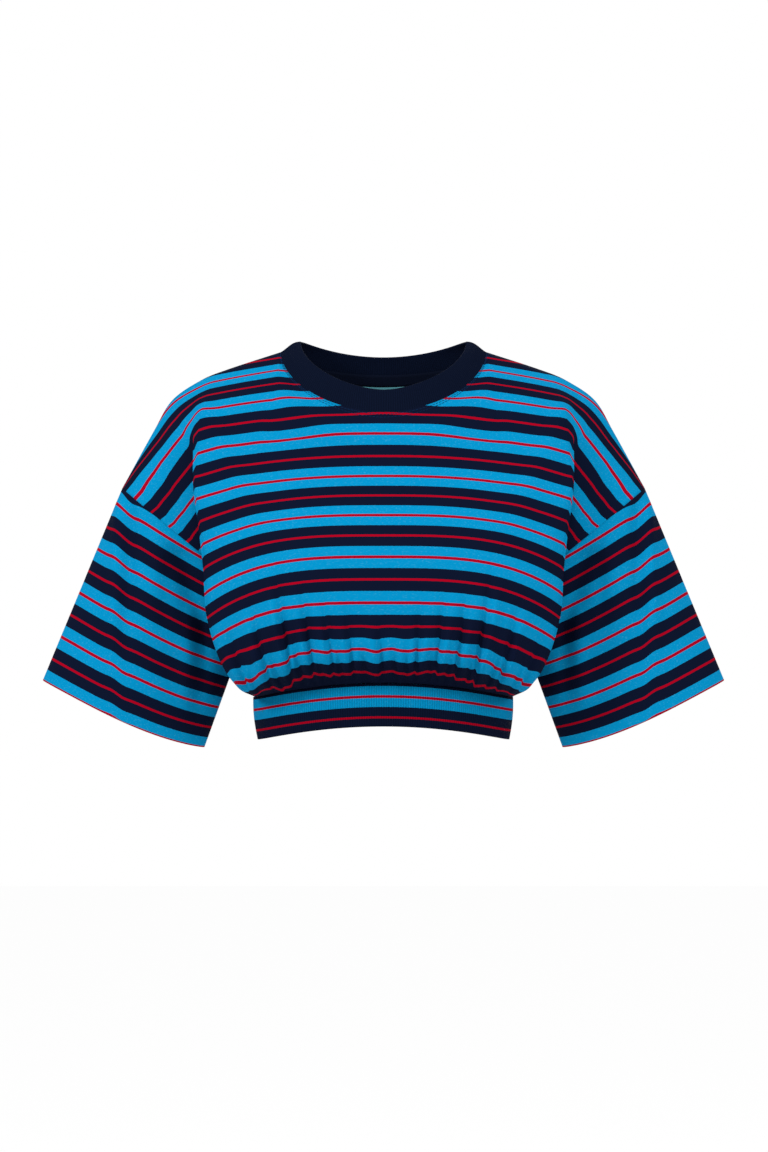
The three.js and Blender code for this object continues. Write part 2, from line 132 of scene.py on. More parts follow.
def roundRun(grid):
    # distance round the ring's first row, in metres
    steps = np.linalg.norm(np.diff(grid[0], axis=0), axis=1)
    return np.broadcast_to(np.concatenate([[0], np.cumsum(steps)]) * mm, grid.shape[:2])


def thicken(piece, thickness, offset=-1.0):
    # the grid is the cloth's outer face, and offset says on which side its thickness goes
    solid = piece.modifiers.new("thickness", "SOLIDIFY")
    solid.thickness = thickness * mm
    solid.offset = offset
    solid.use_even_offset = False


def sewOn(piece, material, node):
    piece.data.materials.append(material)
    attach(piece, "root")
    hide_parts(node)


# The camera looks level at the front from a few steps away
view = {"distance": 3.0, "height": -0.224, "frameHeight": 1.152, "side": 0.0005}
camera = bpy.data.cameras.new("camera")
camera.sensor_fit = "AUTO"
camera.sensor_width = 36.0
camera.lens = camera.sensor_width * view["distance"] / view["frameHeight"]
cameraObject = bpy.data.objects.new("camera", camera)
cameraObject.location = (view["side"], -view["distance"], view["height"])
cameraObject.rotation_euler = (np.pi / 2, 0, 0)
bpy.context.scene.collection.objects.link(cameraObject)
bpy.context.scene.camera = cameraObject


# Dyes and cloths. A dye is named by its red, green and blue out of 255.
def srgb(r, g, b):
    def straight(v):
        v = v / 255
        return v / 12.92 if v <= 0.04045 else ((v + 0.055) / 1.055) ** 2.4
    return (straight(r), straight(g), straight(b), 1.0)


dyes = {
    "blue": srgb(0, 107, 149),
    "blueFleck": srgb(52, 130, 164),
    "navy": srgb(6, 12, 30),
    "red": srgb(128, 0, 20),
    "ribNavy": srgb(6, 12, 28),
    "tape": srgb(7, 12, 26),
    "teal": srgb(70, 122, 130),
    "thread": srgb(10, 36, 66),
}
stripes = {
    "redLine": 0.051,       # half the red line's width, in bands
    "redOnBlue": 0.014,     # how much wider it is on blue
    "wobble": 0.012,        # how much a stripe's edge wanders
    "edgeScale": 700.0,     # how fine that wander is
    "fleckScale": 520.0,    # pale flecks in the blue yarn
    "fleckStretch": (1.0, 1.0, 2.2),
    "fleckContrast": 6.0,
    "fleckStart": -3.4,
}
# loops, uneven and grain are bumps: scale, depth in metres and strength
jerseyCloth = {"roughness": 0.92, "flecks": 0.5, "loops": (1500.0, 0.0003, 0.35),
               "loopStretch": (1.6, 1.6, 0.8), "uneven": (60.0, 0.0012, 0.25)}
# valleyShade and ridgeShade paint shade into the rib's colour: darker in its valleys, lighter on its
# ridges
ribCloth = {"roughness": 0.95, "flecks": 0.3, "ridge": 0.8, "grain": (1300.0, 0.0003, 0.3),
            "valleyShade": 0.78, "ridgeShade": 0.3}
# pitch and depth of the ribs, in metres
ribs = {"waist": (0.0024, 0.0006), "neck": (0.0023, 0.0005)}
# dye, roughness and how fine the weave is
plainCloths = {"navyTape": ("tape", 0.9, 1800.0), "tealLabel": ("teal", 0.7, 2200.0),
               "navyThread": ("thread", 0.8, 2500.0)}
weave = {"detail": 3.0, "darker": 0.8, "depth": 0.0003, "strength": 0.5}
clothShine = 0.02


class Nodes:
    # a short way to add nodes and join them
    def __init__(self, name):
        self.material = bpy.data.materials.new(name)
        self.material.use_nodes = True
        self.tree = self.material.node_tree
        self.tree.nodes.clear()
        self.out = self.add("ShaderNodeOutputMaterial")
        self.cloth = self.add("ShaderNodeBsdfPrincipled")
        self.join(self.cloth.outputs[0], self.out.inputs[0])

    def add(self, kind, **settings):
        node = self.tree.nodes.new(kind)
        for key, value in settings.items():
            setattr(node, key, value)
        return node

    def join(self, source, target):
        self.tree.links.new(source, target)

    def math(self, operation, *values):
        node = self.add("ShaderNodeMath", operation=operation)
        for socket, value in zip(node.inputs, values):
            if isinstance(value, (int, float)):
                socket.default_value = value
            else:
                self.join(value, socket)
        return node.outputs[0]

    def mix(self, share, first, second):
        node = self.add("ShaderNodeMix", data_type="RGBA")
        for socket, value in ((node.inputs[0], share), (node.inputs[6], first), (node.inputs[7], second)):
            if isinstance(value, (int, float, tuple)):
                socket.default_value = value
            else:
                self.join(value, socket)
        return node.outputs[2]

    def noise(self, scale, detail=2.0, stretch=None):
        place = self.add("ShaderNodeTexCoord").outputs["Object"]
        if stretch:
            turn = self.add("ShaderNodeMapping")
            turn.inputs["Scale"].default_value = stretch
            self.join(place, turn.inputs["Vector"])
            place = turn.outputs[0]
        node = self.add("ShaderNodeTexNoise")
        node.inputs["Scale"].default_value = scale
        node.inputs["Detail"].default_value = detail
        self.join(place, node.inputs["Vector"])
        return node.outputs[0]

    def attribute(self, name):
        return self.add("ShaderNodeAttribute", attribute_name=name).outputs["Fac"]

    def bump(self, height, distance, strength=1.0, under=None):
        node = self.add("ShaderNodeBump")
        node.inputs["Strength"].default_value = strength
        node.inputs["Distance"].default_value = distance
        self.join(height, node.inputs["Height"])
        if under is not None:
            self.join(under, node.inputs["Normal"])
        return node.outputs[0]


def matte(nodes, roughness):
    nodes.cloth.inputs["Roughness"].default_value = roughness
    nodes.cloth.inputs["Specular IOR Level"].default_value = clothShine


def stripeColour(nodes, flecks):
    # the stripe attribute counts bands: odd is navy, even is blue, a red line in the middle of each
    uneven = nodes.math("SUBTRACT", nodes.noise(stripes["edgeScale"], 3.0), 0.5)
    wander = nodes.math("MULTIPLY", uneven, stripes["wobble"] * 2)
    place = nodes.math("ADD", nodes.attribute("stripe"), wander)
    half = nodes.math("MULTIPLY", place, 0.5)
    fromOdd = nodes.math("ABSOLUTE", nodes.math("SUBTRACT", nodes.math("FRACT", half), 0.5))
    navyShare = nodes.math("LESS_THAN", fromOdd, 0.25)
    shifted = nodes.math("FRACT", nodes.math("ADD", place, 0.5))
    fromLine = nodes.math("ABSOLUTE", nodes.math("SUBTRACT", shifted, 0.5))
    wideLine = stripes["redLine"] + stripes["redOnBlue"]
    redWidth = nodes.math("MULTIPLY_ADD", navyShare, -stripes["redOnBlue"], wideLine)
    redShare = nodes.math("LESS_THAN", fromLine, redWidth)
    speck = nodes.noise(stripes["fleckScale"], 4.0, stripes["fleckStretch"])
    sharp = nodes.math("MULTIPLY_ADD", speck, stripes["fleckContrast"], stripes["fleckStart"])
    fleckShare = nodes.math("MULTIPLY", sharp, flecks)
    clipped = nodes.math("MINIMUM", nodes.math("MAXIMUM", fleckShare, 0.0), 1.0)
    blue = nodes.mix(clipped, dyes["blue"], dyes["blueFleck"])
    bands = nodes.mix(navyShare, blue, dyes["navy"])
    return nodes.mix(redShare, bands, dyes["red"])


def jerseyMaterial():
    nodes = Nodes("stripedJersey")
    matte(nodes, jerseyCloth["roughness"])
    nodes.join(stripeColour(nodes, jerseyCloth["flecks"]), nodes.cloth.inputs["Base Color"])
    scale, depth, strength = jerseyCloth["loops"]
    loops = nodes.bump(nodes.noise(scale, 2.0, jerseyCloth["loopStretch"]), depth, strength)
    scale, depth, strength = jerseyCloth["uneven"]
    nodes.join(nodes.bump(nodes.noise(scale, 2.0), depth, strength, loops), nodes.cloth.inputs["Normal"])
    return nodes.material


def ribMaterial(name, colourOf, pitch, ribDepth):
    nodes = Nodes(name)
    matte(nodes, ribCloth["roughness"])
    turns = nodes.math("MULTIPLY", nodes.attribute("rib"), 2 * np.pi / pitch)
    height = nodes.math("MULTIPLY_ADD", nodes.math("SINE", turns), 0.5, 0.5)
    colour = colourOf(nodes)
    # painted shade: the rib's base colour is darkened in the valleys and lightened on the ridges, on top
    # of the bump
    shade = nodes.math("MULTIPLY_ADD", height, ribCloth["ridgeShade"], ribCloth["valleyShade"])
    lit = nodes.add("ShaderNodeMix", data_type="RGBA", blend_type="MULTIPLY")
    lit.inputs[0].default_value = 1.0
    if isinstance(colour, tuple):
        lit.inputs[6].default_value = colour
    else:
        nodes.join(colour, lit.inputs[6])
    grey = nodes.add("ShaderNodeCombineColor")
    for socket in grey.inputs:
        nodes.join(shade, socket)
    nodes.join(grey.outputs[0], lit.inputs[7])
    nodes.join(lit.outputs[2], nodes.cloth.inputs["Base Color"])
    ridges = nodes.bump(height, ribDepth, ribCloth["ridge"])
    scale, depth, strength = ribCloth["grain"]
    nodes.join(nodes.bump(nodes.noise(scale), depth, strength, ridges), nodes.cloth.inputs["Normal"])
    return nodes.material


def plainMaterial(name):
    dye, roughness, scale = plainCloths[name]
    nodes = Nodes(name)
    matte(nodes, roughness)
    speck = nodes.noise(scale, weave["detail"])
    dark = tuple(v * weave["darker"] for v in dyes[dye][:3]) + (1.0,)
    nodes.join(nodes.mix(speck, dark, dyes[dye]), nodes.cloth.inputs["Base Color"])
    nodes.join(nodes.bump(speck, weave["depth"], weave["strength"]), nodes.cloth.inputs["Normal"])
    return nodes.material


jersey = jerseyMaterial()
waistRibCloth = ribMaterial("stripedRib", lambda nodes: stripeColour(nodes, ribCloth["flecks"]),
                            *ribs["waist"])
neckRibCloth = ribMaterial("navyRib", lambda nodes: dyes["ribNavy"], *ribs["neck"])
tapeCloth = plainMaterial("navyTape")
labelCloth = plainMaterial("tealLabel")
threadCloth = plainMaterial("navyThread")
print("stage: materials")


# The front and the back. Sizes are in millimetres, and levels count bands of the stripe down the cloth.
bandWidth = 22.2
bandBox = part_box("waistband")
cut = {
    "neckHalfWidth": 102.5, "neckPower": 1.85,
    "neckFront": (-62.0, -63.0), "neckBack": (62.0, -20.0),
    "shoulderEnd": (261.0, -136.0), "underarm": (125.0, -246.0), "armholeDepth": 45.0,
    "armholeLength": 215.0,
    "waistHalfWidth": bandBox[1][0] / mm, "waistHalfDepth": bandBox[1][1] / mm,
    "waistSeamZ": -328.0, "waistSideDrop": 17.0, "sideSeamBulge": 7.0,
    "shoulderRound": 14.0, "centreRound": 2.0, "sideRound": 3.0, "joinColumns": 5.0,
    "flatness": 0.85,       # below 1 a row is flatter in front than an oval
    "thickness": 0.9,
}
levels = {"neckPoint": -3.43, "backNeck": -2.5, "shoulderEnd": -0.8, "frontNeck": 1.0, "first": 3.0,
          "waistFront": 13.44, "waistBack": 12.6}
levels["underarm"] = levels["shoulderEnd"] + cut["armholeLength"] / bandWidth
# Columns count across half a panel, from the middle to the end of the neck, the edge, the tuck and
# the side, and waistShare says how far round the waist seam the edge and the tuck come down
columns = {"neck": 8.0, "edge": 13.0, "tuck": 17.0, "side": 24.0}
waistShare = {"edge": 0.76, "tuck": 0.87}

# how far along the shoulder seam, x, z
shoulderSeam = [(0, 102.5, 0), (0.26, 157.5, -18), (0.38, 182, -28), (0.54, 211, -48),
                (0.71, 229, -78), (1, 261, -136)]

# Rows down half a panel. The edge is where the cloth turns inwards, the tuck is the crease behind it,
# and the power says how late the row falls away towards its edge.
rowNames = ("level", "centreY", "centreZ", "edgeX", "edgeY", "edgeZ", "tuckX", "tuckY", "tuckZ", "power")
frontRows = [
    (3, -76, -107, 185, -68, -127, 172, -50, -143, 2.4),
    (5, -97, -146, 179, -73, -171, 156, -56, -188, 2.8),
    (7, -119, -185, 174, -75, -216, 149, -55, -223, 3.3),
    (8.9, -130, -225, 171, -75, -262, 145, -51, -258, 3.3),
    (11.2, -131, -277, 158, -72, -308, 140, -44, -304, 3.3),
    (12.6, -123, -309, 143, -56, -334, 136, -34, -332, 3.3),
]
backRows = [
    (3, 92, -135, 184, 68, -134, 174, 52, -146, 2.4),
    (5, 101, -178, 178, 72, -178, 158, 56, -190, 2.4),
    (7, 106, -222, 172, 73, -222, 150, 55, -225, 2.4),
    (8.9, 108, -262, 168, 72, -266, 145, 51, -260, 2.4),
    (11.2, 107, -303, 154, 68, -310, 139, 43, -305, 2.4),
]
panels = {
    "front": {"side": -1, "rows": frontRows, "centre": cut["neckFront"],
              "centreLevel": levels["frontNeck"], "waist": levels["waistFront"]},
    "back": {"side": 1, "rows": backRows, "centre": cut["neckBack"],
             "centreLevel": levels["backNeck"], "waist": levels["waistBack"]},
}
# How finely a panel is divided, and how its columns are shared out between the stops across it
fineness = {"columns": 170, "shares": (0.38, 0.3, 0.15, 0.17),
            "top": 28, "middle": 30, "waist": 54, "waistPower": 0.8}
# How a row runs on from its front to the side: where the knots lie, and how finely it is cut
rowRun = {"knots": (0, 1, 1.6, 2.6, 4.4), "edge": 1, "tuck": 2.6, "side": 4.4, "points": 31,
          "frontPoints": 41, "before": 36}
# Which way the cloth rounds out between the top edge and the first row
topLean = {"across": 0.75, "acrossFrom": 0.6, "acrossRun": 1.6, "out": 0.7, "up": 0.7}


def shoulderPoint(along):
    knots = np.array(shoulderSeam, float)
    values = np.stack([knots[:, 1], np.zeros(len(knots)), knots[:, 2]], axis=1)
    return curveThrough(knots[:, 0], values, np.atleast_1d(along))[0]


def neckPoint(turn, centre):
    angle = turn * np.pi / 2
    x = np.sin(angle) ** (2 / cut["neckPower"])
    rest = max(np.cos(angle), 0.0) ** (2 / cut["neckPower"])
    return np.array([cut["neckHalfWidth"] * x, centre[0] * rest, centre[1] * rest])


def armholePoint(turn, side):
    angle = turn * np.pi
    across = (1 - np.cos(angle)) / 2
    end, low = cut["shoulderEnd"], cut["underarm"]
    return np.array([end[0] + across * (low[0] - end[0]), side * cut["armholeDepth"] * np.sin(angle),
                     end[1] + across * (low[1] - end[1])])


def waistPoint(turn, side, drop=0.0):
    angle = turn * np.pi / 2
    return np.array([cut["waistHalfWidth"] * np.sin(angle), side * cut["waistHalfDepth"] * np.cos(angle),
                     cut["waistSeamZ"] - cut["waistSideDrop"] * np.sin(angle) ** 2 - drop])


def sideEdge(at, side):
    if at <= levels["underarm"]:
        turn = (at - levels["shoulderEnd"]) / (levels["underarm"] - levels["shoulderEnd"])
        return armholePoint(max(turn, 0.0), side)
    place = (at - levels["underarm"]) / (levels["waistFront"] - levels["underarm"])
    waist = waistPoint(1, -1)
    low = cut["underarm"]
    return np.array([low[0] + place * (waist[0] - low[0]) + cut["sideSeamBulge"] * np.sin(np.pi * place),
                     0.0, low[1] + place * (waist[2] - low[1])])


def rowLines(row, side):
    r = dict(zip(rowNames, row))
    angle = np.linspace(0, np.pi / 2, rowRun["frontPoints"])
    reach = np.sin(angle) ** cut["flatness"]
    depth = np.maximum(np.cos(angle), 0) ** cut["flatness"]
    front = np.stack([r["edgeX"] * reach, r["edgeY"] + (r["centreY"] - r["edgeY"]) * depth,
                      r["centreZ"] + (r["edgeZ"] - r["centreZ"]) * reach ** r["power"]], axis=1)
    edge = front[-1]
    tuck = np.array([r["tuckX"], r["tuckY"], r["tuckZ"]])
    turnIn = np.array([edge[0] + 1, (edge[1] * 2 + tuck[1]) / 3, (edge[2] * 2 + tuck[2]) / 3])
    values = [front[rowRun["before"]], edge, turnIn, tuck, sideEdge(r["level"], side)]
    toTuck = np.linspace(rowRun["edge"], rowRun["tuck"], rowRun["points"])
    toSide = np.linspace(rowRun["tuck"], rowRun["side"], rowRun["points"])
    bend = curveThrough(rowRun["knots"], values, toTuck)
    out = curveThrough(rowRun["knots"], values, toSide)
    return front, bend, out


def rowPoint(lines, column):
    if column <= columns["edge"]:
        return alongLine(lines[0], [column / columns["edge"]])[0]
    if column <= columns["tuck"]:
        share = (column - columns["edge"]) / (columns["tuck"] - columns["edge"])
        return alongLine(lines[1], [share])[0]
    return alongLine(lines[2], [(column - columns["tuck"]) / (columns["side"] - columns["tuck"])])[0]


def topEdge(column, panel):
    if column <= columns["neck"]:
        turn = column / columns["neck"]
        fall = max(np.cos(turn * np.pi / 2), 0.0) ** (2 / cut["neckPower"])
        at = levels["neckPoint"] + (panel["centreLevel"] - levels["neckPoint"]) * fall
        return at, neckPoint(turn, panel["centre"])
    along = (column - columns["neck"]) / (columns["side"] - columns["neck"])
    at = levels["neckPoint"] + along * (levels["shoulderEnd"] - levels["neckPoint"])
    return at, shoulderPoint(along)


def waistTurn(column):
    return np.interp(column, [0, columns["edge"], columns["tuck"], columns["side"]],
                     [0, waistShare["edge"], waistShare["tuck"], 1])


def waistLevel(column, panel):
    share = column / columns["side"]
    return panel["waist"] + (levels["waistFront"] - panel["waist"]) * share ** 2


def columnCurve(panel, lines, column):
    share = column / columns["side"]
    at, top = topEdge(column, panel)
    first = rowPoint(lines[0], column)
    roundness = cut["shoulderRound"] - cut["centreRound"]
    lift = cut["centreRound"] + roundness * smooth(column / columns["neck"])
    across = topLean["across"] * smooth(share * topLean["acrossRun"] - topLean["acrossFrom"])
    outward = unit(np.array([across, topLean["out"] * panel["side"], topLean["up"]]))
    between = (top + first) / 2 + outward * lift
    places = [at, (at + levels["first"]) / 2]
    values = [top, between]
    for row, line in zip(panel["rows"], lines):
        places.append(row[0])
        values.append(rowPoint(line, column))
    places.append(waistLevel(column, panel))
    values.append(waistPoint(waistTurn(column), panel["side"]))
    return places, values


def columnLevels(panel, column):
    top = topEdge(column, panel)[0]
    waist = waistLevel(column, panel)
    middle = np.linspace(levels["first"], levels["underarm"], fineness["middle"] + 1)[1:]
    last = np.linspace(0, 1, fineness["waist"] + 1)[1:] ** fineness["waistPower"]
    return np.concatenate([np.linspace(top, levels["first"], fineness["top"] + 1), middle,
                           levels["underarm"] + (waist - levels["underarm"]) * last])


def columnPlaces():
    # most columns lie across the middle, where the gathers are
    counts = [round(fineness["columns"] * share) for share in fineness["shares"]]
    stops = (0, columns["neck"], columns["edge"], columns["tuck"], columns["side"])
    parts = [np.linspace(stops[i], stops[i + 1], counts[i], endpoint=False) for i in range(4)]
    return np.concatenate(parts + [[columns["side"]]])


def halfPanel(panel):
    # every column from the neck or the shoulder to the waist, drawn on to the side edge near the side
    lines = [rowLines(row, panel["side"]) for row in panel["rows"]]
    places = columnPlaces()
    sideLevels = columnLevels(panel, columns["side"])
    own = curveThrough(*columnCurve(panel, lines, columns["side"]), sideLevels)
    miss = np.array([sideEdge(at, panel["side"]) for at in sideLevels]) - own
    points, stripe = [], []
    for column in places:
        at = columnLevels(panel, column)
        near = smooth(1 - (columns["side"] - column) / cut["joinColumns"])
        line = curveThrough(*columnCurve(panel, lines, column), at) + near * miss
        # a little fuller beside the seam, just above the underarm
        beside = 4 * near * (1 - near) * smooth(1 - np.abs(at - levels["underarm"] + 1) / 3)
        line[:, 1] += panel["side"] * cut["sideRound"] * beside
        points.append(line)
        stripe.append(at)
    return np.stack(points, axis=1), np.stack(stripe, axis=1), places


def wholePanel(half):
    # the other half is the mirror of this one, and they share the middle column
    mirrored = half[:, :0:-1].copy()
    if half.ndim == 3:
        mirrored[..., 0] *= -1
    return np.concatenate([mirrored, half], axis=1)


# Gathers at the waist: x at the waistband, how far the top leans along x, length, depth
frontGathers = [
    (-135, -17, 66, 4.4), (-124, -14, 40, 3.2), (-113, -17, 90, 5.0), (-101, -13, 44, 3.6),
    (-92, -13, 118, 5.6), (-80, -9, 54, 3.8), (-70, -9, 98, 5.2), (-60, -5, 42, 3.2),
    (-51, -6, 84, 4.6), (-42, -3, 46, 3.4), (-31, -4, 74, 4.4), (-19, -1, 40, 3.2),
    (-3, 0, 62, 4.2), (11, 1, 42, 3.2), (21, 3, 48, 3.4), (32, 4, 78, 4.6), (44, 4, 42, 3.2),
    (52, 7, 88, 4.8), (61, 5, 46, 3.4), (71, 10, 94, 5.0), (82, 9, 52, 3.6), (91, 14, 114, 5.6),
    (102, 13, 46, 3.6), (114, 17, 86, 5.0), (125, 14, 42, 3.2), (136, 17, 60, 4.2),
]
backGathers = [(-130, -14, 60, 3.6), (-112, -13, 84, 4.6), (-97, -9, 58, 4.0), (-80, -9, 98, 5.0),
               (-66, -5, 62, 4.0), (-49, -6, 88, 4.6), (-34, -1, 52, 3.6), (-18, -2, 76, 4.2),
               (-3, 1, 58, 3.8), (14, 1, 90, 4.6), (29, 4, 54, 3.6), (45, 4, 80, 4.4),
               (60, 8, 60, 4.0), (77, 8, 102, 5.0), (92, 11, 64, 4.2), (109, 14, 86, 4.8),
               (128, 13, 58, 3.6)]

# How a gather lies: how its table row is let out, how it widens, and how the cloth swells beside it
gather = {
    "inward": 0.95, "lean": 1.15, "length": 1.2, "depth": 1.25, "lowest": -345.0,
    "width": 2.3, "widening": 2.6, "foot": 0.45, "footRun": 4.0, "tipRun": 1.25,
    "swell": 0.6, "swellAway": 2.1, "swellWidth": 1.5,
}
# How the stripe steps at a gather, in bands: deep gathers cut it and shallow ones only bend it
stripeStep = {
    "before": 0.15, "beforeRun": 6.0, "after": 0.06, "afterRun": 5.0, "fullDepth": 5.0, "fade": 1.5,
    "depths": (3.4, 5.0), "softness": (2.4, 0.9), "calm": 0.6, "calmX": 15.0, "calmRun": 45.0,
    "wave": 0.055, "waveLength": 6.4, "waveBend": 1.4, "bendLength": 19.0,
    "waveLevel": 10.2, "waveRun": 2.2,
}


def gatherFolds(gathers):
    folds = []
    for x, lean, length, depth in gathers:
        z = cut["waistSeamZ"] - cut["waistSideDrop"] * (x / cut["waistHalfWidth"]) ** 2
        folds.append((x * gather["inward"], max(z, gather["lowest"]), x + lean * gather["lean"],
                      z + length * gather["length"], depth * gather["depth"]))
    return folds


def acrossGather(x, z, fold):
    # how far up the gather each point is, and how far to its outer side
    x1, z1, x2, z2, _ = fold
    t = np.clip((z - z1) / (z2 - z1), 0, 1)
    off = x - (x1 + (x2 - x1) * t)
    return t, -off if x1 + x2 < 0 else off


def gatherPush(x, z, folds):
    # a trough along each gather, with the cloth swelling on its outer side
    push = np.zeros_like(x)
    for fold in folds:
        t, off = acrossGather(x, z, fold)
        width = gather["width"] + gather["widening"] * t
        rise = gather["foot"] + (1 - gather["foot"]) * smooth(t * gather["footRun"])
        strength = fold[-1] * rise * smooth((1 - t) * gather["tipRun"])
        push -= strength * np.exp(-(off / width) ** 2)
        beside = (off - gather["swellAway"] * width) / (gather["swellWidth"] * width)
        push += gather["swell"] * strength * np.exp(-beside ** 2)
    return push


# Large soft folds from x1, z1 to x2, z2: width at the start and the end, height
frontFolds = [
    (-176, -66, -100, -212, 9, 22, 3.0), (176, -66, 100, -212, 9, 22, 3.0),
    (-188, -96, -170, -150, 6, 10, -1.6), (188, -96, 171, -148, 6, 10, -1.6),
    (-120, -300, -84, -226, 9, 16, 2.6), (118, -302, 86, -224, 9, 16, 2.6),
    (-60, -306, -52, -250, 9, 14, 1.8), (58, -308, 50, -246, 9, 14, 1.8),
    (-150, -290, -120, -236, 8, 14, -2.2), (150, -292, 122, -238, 8, 14, -2.2),
]
backFolds = [
    (-168, -80, -96, -206, 10, 22, 3.0), (166, -84, 92, -210, 10, 22, 3.0),
    (-118, -296, -70, -214, 10, 18, 3.0), (112, -300, 78, -220, 10, 18, 2.6),
    (-20, -300, -12, -222, 10, 16, 2.0), (40, -306, 36, -240, 9, 15, 1.8),
]


def gatherStep(x, z, folds):
    # at a gather one side of the pleat lies over the other
    total = np.zeros_like(x)
    for fold in folds:
        t, off = acrossGather(x, z, fold)
        depth = fold[-1]
        outer = smooth((abs(fold[0]) - stripeStep["calmX"]) / stripeStep["calmRun"])
        calm = stripeStep["calm"] + (1 - stripeStep["calm"]) * outer
        strength = calm * depth / stripeStep["fullDepth"] * (1 - t) ** stripeStep["fade"]
        over = 0.5 + 0.5 * np.tanh(off / np.interp(depth, stripeStep["depths"], stripeStep["softness"]))
        before = stripeStep["before"] * np.exp(-np.abs(off) / stripeStep["beforeRun"]) * (1 - over)
        after = stripeStep["after"] * np.exp(-np.abs(off) / stripeStep["afterRun"]) * over
        total += strength * (before - after)
    return total


def stripeWave(x, stripe):
    # between the gathers the low stripes run in soft waves
    bend = stripeStep["waveBend"] * np.sin(x / stripeStep["bendLength"])
    wave = np.sin(x / stripeStep["waveLength"] + bend)
    return stripeStep["wave"] * wave * smooth((stripe - stripeStep["waveLevel"]) / stripeStep["waveRun"])


# How far the stripes hang down, in bands: behind the armhole fold by column, low on the sides,
# under the collar, and the other way where the side of the waist seam lifts
hang = {
    "columns": (13, 17, 19, 20, 21, 22, 23, 24), "down": (0, 0.5, 0.66, 0.76, 0.9, 1.0, 1.12, 1.15),
    "levels": (-3, -0.5, 0.25, 1.5, 2.8, 4, 14), "share": (0.4, 0.55, 0.72, 1.18, 1.1, 0.88, 0.88),
    "low": 0.55, "lowLevel": 9.5, "lowRun": 4.0, "lowX": 60.0, "lowFade": 70.0,
    "collar": 0.09, "collarLevel": 1.4, "collarRun": 0.9, "collarX": 125.0, "collarFade": 25.0,
    "corner": 0.09, "cornerX": 84.0, "cornerWidth": 25.0,
    "lift": 0.6, "liftLevel": 12.05, "liftRun": 0.9, "liftX": 95.0, "liftFade": 30.0,
    "last": 13.46,
}


def stripeHang(stripe, x, places):
    away = np.abs(x)
    across = np.interp(places, hang["columns"], hang["down"])
    down = across[None, :] * np.interp(stripe, hang["levels"], hang["share"])
    low = smooth((stripe - hang["lowLevel"]) / hang["lowRun"])
    low = low * smooth((away - hang["lowX"]) / hang["lowFade"])
    collar = np.exp(-((stripe - hang["collarLevel"]) / hang["collarRun"]) ** 2)
    collar = collar * smooth((hang["collarX"] - away) / hang["collarFade"])
    corner = np.exp(-((away - hang["cornerX"]) / hang["cornerWidth"]) ** 2)
    under = (hang["collar"] + hang["corner"] * corner) * collar
    placed = stripe - down - hang["low"] * low - under
    lifted = smooth((placed - hang["liftLevel"]) / hang["liftRun"])
    return placed + hang["lift"] * lifted * smooth((away - hang["liftX"]) / hang["liftFade"])


# Where folds show on a panel, and how its lowest part hangs and pulls up beside the waistband's ends
drape = {
    "facing": 0.05, "facingRun": 2.5, "quietRows": 3,
    "lowLevel": 10.6, "lowRun": 1.6, "lowDepth": 20.0,
    "hang": 4.0, "hangX": 127.0, "hangWidth": 9.0, "pull": 4.5, "pullX": 136.0, "pullRun": 14.0,
}


def makePanel(name, key, gathers, folds):
    panel = panels[key]
    half, stripeHalf, places = halfPanel(panel)
    grid = wholePanel(half)
    stripe = wholePanel(stripeHang(stripeHalf, half[..., 0], places))
    normals = gridNormals(grid) * panel["side"]
    x, z = grid[..., 0], grid[..., 2]
    facing = smooth((normals[..., 1] * panel["side"] + drape["facing"]) * drape["facingRun"])
    quietEdge = np.minimum(1, np.arange(grid.shape[0])[::-1] / drape["quietRows"])[:, None]
    gatherLines = gatherFolds(gathers)
    level = unit(normals * np.array([1, 1, 0]))
    gathered = gatherPush(x, z, gatherLines) * facing * smooth(quietEdge)
    grid = grid + level * gathered[..., None] + normals * (foldPush(x, z, folds) * facing)[..., None]
    bent = gatherStep(x, z, gatherLines) + stripeWave(x, stripe)
    stripe = np.minimum(stripe + bent * facing, hang["last"])
    low = smooth((stripe - drape["lowLevel"]) / drape["lowRun"])
    low = low * smooth(grid[..., 1] * panel["side"] / drape["lowDepth"])
    hangs = np.exp(-((np.abs(x) - drape["hangX"]) / drape["hangWidth"]) ** 2)
    pulled = smooth((np.abs(x) - drape["pullX"]) / drape["pullRun"])
    grid[..., 2] += (drape["pull"] * pulled - drape["hang"] * hangs) * low * smooth(quietEdge / 2)
    piece = meshFrom(name, grid, stripe=stripe)
    thicken(piece, cut["thickness"], panel["side"])
    return piece, grid, normals


frontPiece, frontGrid, frontNormals = makePanel("frontPanel", "front", frontGathers, frontFolds)
backPiece, backGrid, backNormals = makePanel("backPanel", "back", backGathers, backFolds)
sewOn(frontPiece, jersey, "front_panel")
sewOn(backPiece, jersey, "back_panel")
print("stage: front and back")


# The sleeves are wide tubes from the armhole to the cuff. The kink is the crease down the middle,
# from x, z to x, z, where the stripe turns.
sleeve = {
    "cuffOuter": (340.5, -328.0), "cuffInner": (179.0, -395.0), "cuffDepth": 42.0,
    "sag": 8.0, "sagPower": 0.7,
    "innerBand": 21.2, "outerBand": 23.7, "bandPower": 0.7, "stripeAtHem": 10.0,
    "kink": (256.0, -150.0, 263.0, -360.0), "kinkWidth": 9.0, "kinkShift": 0.22, "kinkFade": 0.6,
    "backFolds": 0.7, "quietDepth": 20.0, "quietRows": 8,
    "around": 120, "along": 90, "thickness": 0.9, "flat": (0.43, 0.21), "area": 0.082,
}
# Folds of the sleeve on the wearer's left: x1, z1, x2, z2, width1, width2, height
sleeveFolds = [
    (262, -158, 270, -350, 6, 9, 4.4), (249, -150, 255, -330, 5, 8, -4.2),
    (176, -278, 186, -385, 6, 9, -3.4), (190, -262, 200, -380, 7, 10, 2.6),
    (222, -190, 228, -290, 9, 14, 1.4), (214, -215, 216, -300, 7, 11, -1.4),
    (300, -232, 318, -330, 9, 12, -1.6), (196, -205, 164, -345, 15, 15, -8.0),
]


